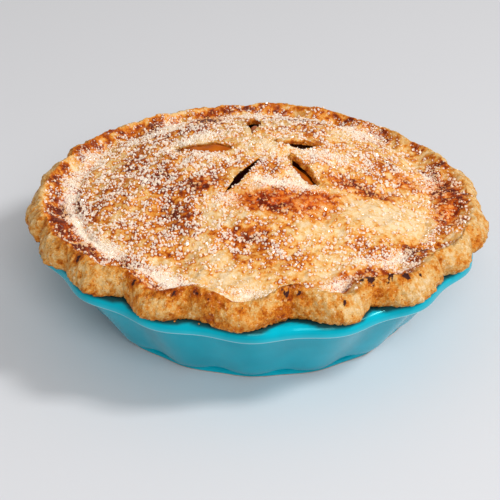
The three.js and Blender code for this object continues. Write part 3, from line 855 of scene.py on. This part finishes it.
# Where the sugar melted to amber beads on the darkest crust: x, y, half-widths, turn and how far.
MELTED = [
    (12, -38, 26, 11, -8, 1), (40, -31, 12, 6, 12, 0.7), (56, -13, 14, 7, -20, 0.7),
    (74, -16, 9, 5, 0, 0.5), (90, 9, 10, 8, 0, 0.6), (-5, -68, 16, 7, 0, 0.2),
    (114, -24, 18, 9, 88, 0.6), (114, 8, 20, 9, 92, 0.6), (-33, -21, 8, 6, 0, 0.5),
    (-118, -24, 18, 8, 88, 0.4), (-104, -60, 24, 9, -60, 0.4), (-64, -112, 26, 7, -40, 0.5),
    (62, -96, 26, 8, 15, 0.5), (-32, 88, 12, 26, 0, 0.6),
]


def patches_at(patches, places):
    """The summed strength of soft ellipses at places."""
    total = np.zeros(len(places))
    for *middle, long, short, turn, strength in patches:
        c, s = math.cos(math.radians(turn)), math.sin(math.radians(turn))
        x, y = (places[:, :2] - middle).T
        along = (x * c + y * s) / long
        across = (y * c - x * s) / short
        total += strength * np.exp(-((along**2 + across**2) ** 1.2))
    return total


def spots_at(spots, places, ragged, soft=0.5):
    """1 in a ragged spot of the list, 0 away from them."""
    total = np.zeros(len(places))
    for *middle, size in spots:
        away = np.linalg.norm((places - middle) * (1, 1, 0.75), axis=1) / (size * ragged)
        total = np.maximum(total, 1 - smooth_share(away, 1 - soft, 1 + soft))
    return total


wander = np.stack([noise_at(points, 11, 3, 21.0), noise_at(points, 11, 3, 33.0)], -1) * 5
wandered = points[:, :2] + wander
z = points[:, 2]
mottling = noise_at(points, 4.5, 3, 50.0)
browning_and_shade = 0.23 + 0.14 * noise_at(points, 22, 3, 40.0) + 0.19 * mottling
# Browned patches, some of them painted shade in the hollows and along the groove.
browning_and_shade += patches_at(BROWNING_AND_SHADE_PATCHES, wandered) * np.clip(1 + 0.9 * mottling, 0.2, 1.8)
browning_and_shade -= patches_at(PALE_PATCHES, wandered)
# Browner where the sugar lies thick: caramel browning, and painted shade between the crystals.
browning_and_shade += 0.14 * np.clip(patches_at(SUGARY, wandered), 0, 1.2)
browning_and_shade -= 0.08 * crease * (1 - outer)
browning_and_shade += 0.05 * swell
crest_line = np.exp(-(((past_crest + 2) / 5) ** 2))
browning_and_shade += 0.16 * crest_line * smooth_share(noise_at(points, 9, 3, 60.0), -0.1, 0.4)
# Painted shade: the crust is painted browner in the groove where the lid tucks under the crimp at the
# left.
browning_and_shade += 0.42 * at_edge * near_bearing(bearings, TUCK_BEARING, 12) * (1 + mottling)
# Painted shade in the pleats of the outer face.
pleat_shade = np.zeros(len(points))
for middle, depth, _ in PLEATS:
    pleat_shade = np.maximum(pleat_shade, 0.05 * depth * near_bearing(bearings, middle, 1.3))
# Painted shade and light that follow the face's relief: darker along its cracks and in the notches,
# paler on its raised flakes.
face_tone = 0.42 + 0.13 * noise_at(points, 12, 3, 70.0) + 0.10 * crack - 0.08 * np.maximum(flake, 0)
face_tone += 0.03 * (1 - lobe_here) + 0.10 * smooth_share(72 - z, 0, 11) - 0.05 + pleat_shade
# Painted light: the outer face is painted paler round the sides and back than at the front, as if lit
# more there.
face_tone -= 0.13 * (1 - near_bearing(bearings, -8, 25))
browning_and_shade = browning_and_shade * (1 - outer) + face_tone * outer
browning_and_shade += outer * patches_at(BROWNING_AND_SHADE_PATCHES, wandered) * 0.45 * smooth_share(z, 66, 73)
# The vents' cut walls are painted a deep brown: partly the baked crumb's colour, partly painted shade
# inside the vents.
browning_and_shade = browning_and_shade * (1 - cut_wall) + (0.55 + 0.04 * mottling) * cut_wall
ragged = np.clip(1 + 1.1 * noise_at(points, 2.2, 2, 90.0), 0.4, 1.8)
burnt = spots_at(BURNT_SPOTS, points, ragged)
browning_and_shade += 0.16 * spots_at(BURNT_SPOTS, points, 2.4 * ragged)

# Fine sugar lies in drifts in the dents of the edge and round the front vents.
SUGAR_DRIFTS = [
    (-53, -98, 15, 6, -38, 1), (-44, -106, 9, 4, -20, 0.6), (-85, -69, 12, 5, -48, 0.95),
    (-95, -58, 16, 4.5, -55, 0.9), (-108, -34, 18, 4, -72, 0.85), (-114, -4, 18, 4, 90, 0.7),
    (-111, 26, 18, 5, 80, 0.5), (-5, -113, 9, 4, -5, 0.9), (46, -102, 9, 4, 30, 0.9),
    (80, -74, 9, 5, 40, 0.75), (86, -83, 6, 4, 30, 0.5), (64, -80, 10, 4, 10, 0.5),
    (103, -44, 10, 3, 70, 0.5), (3, 13, 15, 9, 0, 0.2), (3, -20, 9, 7, 0, 0.7),
    (26, -12, 8, 9, 30, 0.6), (20, -22, 16, 4, -8, 0.7), (-20, -36, 8, 5, 0, 0.5),
    (38, 12, 20, 7, 0, 0.55), (-30, 7, 16, 5, -20, 0.5), (-42, 32, 18, 6, 15, 0.7),
    (108, 26, 8, 5, 80, 0.5), (-62, 62, 24, 8, 10, 0.4), (-104, 48, 14, 6, 70, 0.5),
    (0, 100, 24, 12, 0, 0.4), (-58, 90, 8, 20, 0, 0.4), (64, 76, 14, 20, -30, 0.5),
]
dusting = patches_at(SUGAR_DRIFTS, wandered) * (1 - outer) * smooth_share(z, 60, 64)
dusting = np.clip(dusting, 0, 1) * (1 - cut_wall) * (1 - burnt)

# This browning also holds the painted shade marked above.
paint(crust.data, "browning_and_shade", np.clip(browning_and_shade, 0, 1))
paint(crust.data, "dusting", dusting)
paint(crust.data, "outer_face", np.maximum(outer, cut_wall))
paint(crust.data, "burnt_syrup", burnt)
paint(crust.data, "melted_sugar", np.clip(patches_at(MELTED, wandered), 0, 1) * (1 - outer))

CRUST_TONES = [
    (0.04, (0.74, 0.56, 0.34)),
    (0.24, (0.67, 0.40, 0.135)),
    (0.40, (0.615, 0.228, 0.026)),
    (0.54, (0.45, 0.106, 0.003)),
    (0.72, (0.26, 0.036, 0.001)),
    (0.92, (0.11, 0.013, 0.003)),
]
# Syrup turns the crust redder where the sugar on it melted.
MELTED_TINT = (1, 0.58, 0.35, 1)
FINE_SUGAR_COLOUR = (0.86, 0.80, 0.76, 1)
BURNT_COLOUR = (0.045, 0.011, 0.012, 1)


def added(tree, first, second):
    return combined(tree, "ADD", first, second)


def ranged(tree, value, low, high, to_low, to_high):
    """Moves a value's range low..high to to_low..to_high, and stops it there."""
    inputs = {"Value": value, "From Min": low, "From Max": high, "To Min": to_low, "To Max": to_high}
    return add_node(tree, "ShaderNodeMapRange", inputs).outputs["Result"]


baked_pastry, tree, shader = new_material(
    "baked_pastry", {"Specular IOR Level": 0.18, "Specular Tint": (1, 0.8, 0.55, 1)}
)
face = attribute(tree, "outer_face")
# The browning attribute also carries painted shade.
baked = attribute(tree, "browning_and_shade")
mottled = ranged(tree, noise_of(tree, 430, 5, 0.62), 0.3, 0.7, -0.20, 0.20)
on_lid = ranged(tree, face, 0, 1, 1, 0.4)
mottled = times(tree, mottled, times(tree, ranged(tree, baked, 0.1, 0.6, 0.85, 1.15), on_lid))
cells = {"Vector": object_place(tree), "Scale": 330}
flakes = add_node(tree, "ShaderNodeTexVoronoi", cells, feature="SMOOTH_F1").outputs
flake_grey = add_node(tree, "ShaderNodeRGBToBW", {"Color": flakes["Color"]}).outputs["Val"]
# The outer face shows its crumb, its flakes, dark specks and pale crumbs.
crumb_tone = ranged(tree, noise_of(tree, 900, 4, 0.7), 0.32, 0.68, -0.11, 0.11)
flake_tone = ranged(tree, flake_grey, 0.3, 0.7, -0.09, 0.09)
dark_specks = ranged(tree, noise_of(tree, 700, 2, 0.55), 0.66, 0.72, 0, 0.28)
pale_crumbs = ranged(tree, noise_of(tree, 520, 3, 0.55), 0.60, 0.68, 0, -0.13)
for part in (flake_tone, dark_specks, pale_crumbs):
    crumb_tone = added(tree, crumb_tone, part)
tone = added(tree, added(tree, baked, mottled), times(tree, crumb_tone, face))
pastry = colour_ramp(tree, tone, CRUST_TONES)
reddened = mixed(tree, attribute(tree, "melted_sugar"), pastry, MELTED_TINT, "MULTIPLY")
grained = ranged(tree, noise_of(tree, 520, 4, 0.75), 0.36, 0.64, -0.5, 0.5)
dust_mask = ranged(tree, added(tree, attribute(tree, "dusting"), grained), 0.35, 1.0, 0, 0.85)
sugared = mixed(tree, dust_mask, reddened, FINE_SUGAR_COLOUR)
frayed = ranged(tree, noise_of(tree, 700, 2, 0.55), 0.3, 0.7, -0.3, 0.3)
burnt_mask = ranged(tree, added(tree, attribute(tree, "burnt_syrup"), frayed), 0.35, 0.6, 0, 1)
crumbly = added(tree, noise_of(tree, 520, 6, 0.68), times(tree, flakes["Distance"], 0.35))
craggy = times(tree, times(tree, noise_of(tree, 230, 5, 0.7), 1.7), face)
strength = ranged(tree, face, 0, 1, 0.65, 1)
connect(
    tree,
    shader,
    {
        "Base Color": mixed(tree, burnt_mask, sugared, BURNT_COLOUR),
        "Roughness": ranged(tree, tone, 0.2, 0.8, 0.62, 0.36),
        "Normal": bumped(tree, added(tree, crumbly, craggy), 1.2, strength),
    },
)
crust.data.materials.clear()
crust.data.materials.append(baked_pastry)
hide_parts("pie_crust")
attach(crust, "root")

# Painted shadow: a thin dark line painted on the rim round the crust's foot, where the crust overhangs
# it.
RIM_SHADOW_WIDTH = 1.0
rim_points = coordinates(dish.data)
radius, bearings = round_the_pie(rim_points)
clear_of_crust = radius - edge_at(bearings)[1]
rim_shadow_mask = smooth_share(rim_points[:, 2], DISH_HEIGHT - 3, DISH_HEIGHT - 1)
rim_shadow_mask *= 1 - smooth_share(clear_of_crust, 0, 2 * RIM_SHADOW_WIDTH)
paint(dish.data, "painted_rim_shadow", 0.9 * rim_shadow_mask)

# ---- Crumbs ----
# Two flakes of pastry that broke off the scallops and lie on the dish's flange, just in front.
# Each one is a small folded flake, baked as dark as the edge it came from.

# Each crumb: bearing, distance from the middle, size and turn.
CRUMBS = [(-19.4, 133.6, 1.8, 75), (-13.6, 134.4, 1.3, 130)]


def turned(points, angle):
    """The points, turned about the upright axis."""
    c, s = math.cos(angle), math.sin(angle)
    x, y, z = points.T
    return np.stack([x * c - y * s, x * s + y * c, z], -1)


crumb_pieces = []
for bearing, far, size, turn in CRUMBS:
    crumb = added_piece(bpy.ops.mesh.primitive_ico_sphere_add, subdivisions=3, radius=1)
    ball = coordinates(crumb.data) * MM
    rough = 1 + 0.45 * noise_at(ball + bearing, 0.7, 2)
    flake = turned(ball * rough[:, None] * (size / 2, size / 3.2, size / 4.5), math.radians(turn))
    ruffled = far + float(ruffle(np.array(bearing), np.array(far), np.array(DISH_HEIGHT)))
    flake += (*place_at(bearing, ruffled), DISH_HEIGHT - 0.15 - flake[:, 2].min())
    set_coordinates(crumb.data, flake)
    paint(crumb.data, "browning_and_shade", 0.38 + 0.2 * noise_at(ball + bearing, 0.8, 2))
    paint(crumb.data, "outer_face", np.ones(len(ball)))
    crumb_pieces.append(crumb)
for crumb in crumb_pieces:
    crumb.select_set(True)
bpy.ops.object.join()
crumbs = bpy.context.object
crumbs.name = "loose_crumbs"
bpy.ops.object.shade_smooth()
crumbs.data.materials.append(baked_pastry)
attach(crumbs, "root")

# ---- Apple filling ----
# Peeled apple slices, baked soft in their own amber syrup and heaped up under the lid.
# One slice has come up under each vent; the rest is only seen as a glint in the dark.

HEAP_CELLS = 70
HEAP_RADIUS = 98
# From the dome down to the heap, with a pocket of steam between.
HEAP_DROP = 8.4
SLICE_SIZE, SLICE_RISE = 11, 2.2
SLICE_DEPTH = 9
# Deep gaps between the slices, full of dark syrup and painted near black as shade: x, y and radius.
POCKETS = [(-9, 4, 24), (28, 34, 20)]
POCKET_DEPTH = 14
# The slices under the vents: vent, depth below the lid, length, thickness.
SLICES = [(0, -0.3, 56, 20), (1, 2.6, 58, 12), (2, 20, 26, 8), (3, 2.8, 46, 14), (4, 20, 30, 8)]


def from_pockets(points):
    """How far the points are from each dark gap, as a share of its radius."""
    return [np.hypot(points[:, 0] - x, points[:, 1] - y) / size for x, y, size in POCKETS]


apples, disc_x, disc_y = flat_disc("baked_apples", HEAP_CELLS)
heap = np.stack([disc_x, disc_y, 0 * disc_x], -1) * HEAP_RADIUS
lumps = np.abs(noise_at(heap * (1, 1.6, 1), SLICE_SIZE, 1, 12.0))
heap[:, 2] = dome_height(heap[:, 0], heap[:, 1]) - HEAP_DROP + SLICE_RISE * (lumps - 0.4)
for away in from_pockets(heap):
    heap[:, 2] -= POCKET_DEPTH * np.exp(-(away**4))
set_coordinates(apples.data, heap)


def wall_of_apples(radius, z):
    """One ring of the filling where it lies against the dish."""

    def ring(bearing):
        out = radius - 2 * GAP + ruffle(bearing, np.full_like(bearing, radius), z)
        return out, np.full_like(bearing, z)

    return ring


select_open_edge(apples)
for radius, z in ((111, DISH_HEIGHT), (112, DISH_HEIGHT - 5), (93, 14.5), (88, 9.3), (75, 7.3)):
    next_ring(apples, wall_of_apples(radius, z))
bpy.ops.mesh.edge_face_add()
turn_faces_out()

for number, below, length, thickness in SLICES:
    start, end = VENTS[number]["start"], VENTS[number]["end"]
    sphere = {"segments": 40, "ring_count": 24, "radius": 1}
    slice_piece = added_piece(bpy.ops.mesh.primitive_uv_sphere_add, **sphere)
    ball = coordinates(slice_piece.data) * MM
    body = ball * (length / 2, thickness / 2, SLICE_DEPTH)
    body[:, 1] += 2.0 * (ball[:, 0] ** 2) - 1.0
    body[:, 1] *= 1 - 0.25 * np.maximum(ball[:, 2], 0)
    body = turned(body, math.atan2(end[1] - start[1], end[0] - start[0]))
    body[:, :2] += (start + end) / 2
    body[:, 2] += top_height(body[:, 0], body[:, 1]) - below - SLICE_DEPTH
    set_coordinates(slice_piece.data, body)
    slice_piece.select_set(True)
    apples.select_set(True)
    bpy.context.view_layer.objects.active = apples
    bpy.ops.object.join()
select_only(apples)
bpy.ops.object.shade_smooth()
points_of_apples = coordinates(apples.data)
# The apples in and round the gaps are painted near black: dark syrup, and painted shade deep under the
# vents.
in_syrup_and_shade = 1 - smooth_share(np.min(from_pockets(points_of_apples), axis=0), 0.7, 1.1)
paint(apples.data, "dark_syrup_and_shade", in_syrup_and_shade * (points_of_apples[:, 2] < 84))

SYRUP_AND_SHADE_COLOUR = (0.08, 0.009, 0.006, 1)
FLESH_TONES = [(0.3, (0.28, 0.052, 0.002)), (0.55, (0.41, 0.086, 0.003)), (0.75, (0.52, 0.14, 0.008))]

baked_apple, tree, shader = new_material(
    "baked_apple", {"Roughness": 0.35, "Specular IOR Level": 0.2, "Specular Tint": (1, 0.7, 0.4, 1)}
)
flesh = noise_of(tree, 130, 4)
syrup_and_shade = attribute(tree, "dark_syrup_and_shade")
# Dark syrup and painted shade over the apple flesh.
flesh_syrup_and_shade = mixed(tree, syrup_and_shade, colour_ramp(tree, flesh, FLESH_TONES), SYRUP_AND_SHADE_COLOUR)
connect(tree, shader, {"Base Color": flesh_syrup_and_shade, "Normal": bumped(tree, flesh, 0.8, 0.4)})
apples.data.materials.append(baked_apple)
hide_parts("apple_filling")
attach(apples, "root")

# ---- Coarse sugar ----
# Clear block-shaped crystals, strewn over the egg wash before baking and baked on to the crust.
# Those on the darkest places have turned amber.

CRYSTALS = 5300
CRYSTAL_SMALLEST = 0.75
CRYSTAL_LARGEST = 1.5
# Between two crystals, as a share of the smallest size; how much commoner small ones are; and how
# far a crystal narrows towards its top.
CRYSTAL_SPACING = 1.1
MORE_SMALL_ONES = 1.6
BLOCK_TAPER = 0.82
SUGAR_SEED = 20
SUGAR_GLOW = (0.95, 0.91, 0.83, 1)
THROUGH_SUGAR = (1.0, 0.92, 0.78, 1)
SUGAR_TONES = [(0.05, (0.94, 0.90, 0.83)), (0.45, (0.90, 0.50, 0.17)), (0.9, (0.60, 0.17, 0.03))]

BLOCK = np.array([(a, b, c) for a in (-1, 1) for b in (-1, 1) for c in (-1, 1)]) / 2
BLOCK_SIDES = np.array(
    [(0, 1, 3, 2), (4, 6, 7, 5), (0, 4, 5, 1), (2, 3, 7, 6), (0, 2, 6, 4), (1, 5, 7, 3)]
)

random = np.random.default_rng(SUGAR_SEED)
crust.data.calc_loop_triangles()
corners = threes(crust.data.loop_triangles, "vertices", int)
places = points[corners]
facing = np.cross(places[:, 1] - places[:, 0], places[:, 2] - places[:, 0])
area = np.linalg.norm(facing, axis=1) / 2
facing /= np.maximum(2 * area, 1e-9)[:, None]
middles = places.mean(1)
cover = np.maximum(0.10 + patches_at(SUGARY, middles), 0.03)
cover *= np.clip(0.7 + 1.5 * noise_at(middles, 7, 3, 80.0), 0.04, 2.4)
cover *= (1 - outer[corners].mean(1)) ** 3 * smooth_share(facing[:, 2], 0.25, 0.6)
on_top = ~under_lid[corners].any(1) & (middles[:, 2] > 59) & (cut_wall[corners].max(1) < 0.1)
cover *= on_top
# On the scorched parts of the crest most of them melted away.
on_crest = smooth_share(round_the_pie(middles)[0], 108, 116)
cover *= 1 - 0.75 * on_crest * smooth_share(browning_and_shade[corners].mean(1), 0.5, 0.7)


def near_tree(points):
    """A search tree for the points near a place."""
    near = KDTree(len(points))
    for index, point in enumerate(points):
        near.insert(point, index)
    near.balance()
    return near


def apart(middle, gap):
    """Which of the places keep a gap to every place kept before them."""
    near = near_tree(middle)
    kept = np.ones(len(middle), bool)
    for index, place in enumerate(middle):
        if kept[index]:
            for _, other, _ in near.find_range(place, gap):
                kept[other] &= other <= index
    return kept


def strewn(name, count, smallest, largest, cover, sunk):
    """Block-shaped crystals strewn by area and cover, each turned and stretched its own way."""
    chance = area * cover
    triangle = random.choice(len(chance), 2 * count, p=chance / chance.sum())
    split = np.sort(random.random((2 * count, 2)), axis=1)
    weights = np.stack([split[:, 0], split[:, 1] - split[:, 0], 1 - split[:, 1]], -1)
    middle = (places[triangle] * weights[:, :, None]).sum(1)
    kept = np.flatnonzero(apart(middle, CRYSTAL_SPACING * smallest))[:count]
    triangle, middle, count = triangle[kept], middle[kept], len(kept)
    edges = smallest + (largest - smallest) * random.random((count, 1)) ** MORE_SMALL_ONES
    edges = edges * (0.6 + 0.8 * random.random((count, 3)))
    middle = middle + facing[triangle] * (edges.mean(1) * (0.5 - sunk))[:, None]
    blocks = BLOCK[None] * edges[:, None] * np.where(BLOCK[None, :, 2:] > 0, BLOCK_TAPER, 1.0)
    turn = random.normal(size=(count, 4))
    turn /= np.linalg.norm(turn, axis=1)[:, None]
    axis = turn[:, None, 1:]
    twist = np.cross(axis, blocks)
    vertices = blocks + 2 * (turn[:, None, :1] * twist + np.cross(axis, twist)) + middle[:, None]
    fits = (vertices > crust_low).all((1, 2)) & (vertices < crust_high).all((1, 2))
    vertices, triangle, middle = vertices[fits], triangle[fits], middle[fits]
    faces = (BLOCK_SIDES[None] + 8 * np.arange(len(vertices))[:, None, None]).reshape(-1, 4)
    made = bpy.data.meshes.new(name)
    made.from_pydata((vertices.reshape(-1, 3) * MM).tolist(), [], faces.tolist())
    melted = patches_at(MELTED, middle)
    toast = np.clip((browning_and_shade[corners[triangle]].mean(1) - 0.6) / 0.5, 0, 0.5) + melted
    toast = toast * (0.35 + 0.65 * random.random(len(toast)))
    toast *= 1 - np.clip(patches_at(SUGAR_DRIFTS, middle), 0, 1)
    paint(made, "toast", np.repeat(toast, 8))
    piece = bpy.data.objects.new(name, made)
    bpy.context.scene.collection.objects.link(piece)
    return piece


coarse_sugar = strewn("coarse_sugar", CRYSTALS, CRYSTAL_SMALLEST, CRYSTAL_LARGEST, cover, 0.2)
sugar_crystal, tree, shader = new_material("sugar_crystal", {"Roughness": 0.12, "IOR": 1.54})
connect(tree, shader, {"Base Color": colour_ramp(tree, attribute(tree, "toast"), SUGAR_TONES)})
glow = add_node(tree, "ShaderNodeBsdfTranslucent", {"Color": SUGAR_GLOW}).outputs["BSDF"]
passing = add_node(tree, "ShaderNodeBsdfTransparent", {"Color": THROUGH_SUGAR}).outputs["BSDF"]
cloudy = {0: 0.35, 1: shader.outputs["BSDF"], 2: glow}
cloudy = add_node(tree, "ShaderNodeMixShader", cloudy).outputs["Shader"]
# Light goes on through a crystal, so it throws only a faint warm shadow.
in_shadow = add_node(tree, "ShaderNodeLightPath").outputs["Is Shadow Ray"]
side_on = add_node(tree, "ShaderNodeLayerWeight", {"Blend": 0.5}).outputs["Facing"]
seen_through = ranged(tree, side_on, 0, 0.8, 0.22, 0)
share = combined(tree, "MAXIMUM", seen_through, times(tree, in_shadow, 0.6))
crystal = add_node(tree, "ShaderNodeMixShader", {0: share, 1: cloudy, 2: passing}).outputs["Shader"]
tree.links.new(crystal, tree.nodes["Material Output"].inputs["Surface"])
coarse_sugar.data.materials.append(sugar_crystal)

# The crust browned a little deeper right round each crystal; this ring is also painted shade at each
# crystal's foot.
HALO, HALO_BROWNING_AND_SHADE = 1.4, 0.18
near_crystal = np.zeros(len(points))
near_points = near_tree(points)
for crystal in coordinates(coarse_sugar.data).reshape(-1, 8, 3).mean(1):
    for _, index, _ in near_points.find_range(crystal, HALO):
        near_crystal[index] = 1
browning_and_shade += HALO_BROWNING_AND_SHADE * near_crystal * (1 - outer)
paint(crust.data, "browning_and_shade", np.clip(browning_and_shade, 0, 1))
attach(coarse_sugar, "root")

# ---- Fine sugar ----
# The finer part of the same sugar, strewn with it. It slid down over the egg wash, and lies
# gathered in the dents of the edge and beside the vents.

FINE_CRYSTALS = 13000
FINE_SMALLEST, FINE_LARGEST = 0.4, 0.8

fine_cover = patches_at(SUGAR_DRIFTS, middles) + 0.025
fine_cover *= (1 - outer[corners].mean(1)) ** 3 * smooth_share(facing[:, 2], 0.3, 0.6)
fine_cover *= on_top
fine_sugar = strewn("fine_sugar", FINE_CRYSTALS, FINE_SMALLEST, FINE_LARGEST, fine_cover, 0.25)
fine_sugar.data.materials.append(sugar_crystal)
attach(fine_sugar, "root")
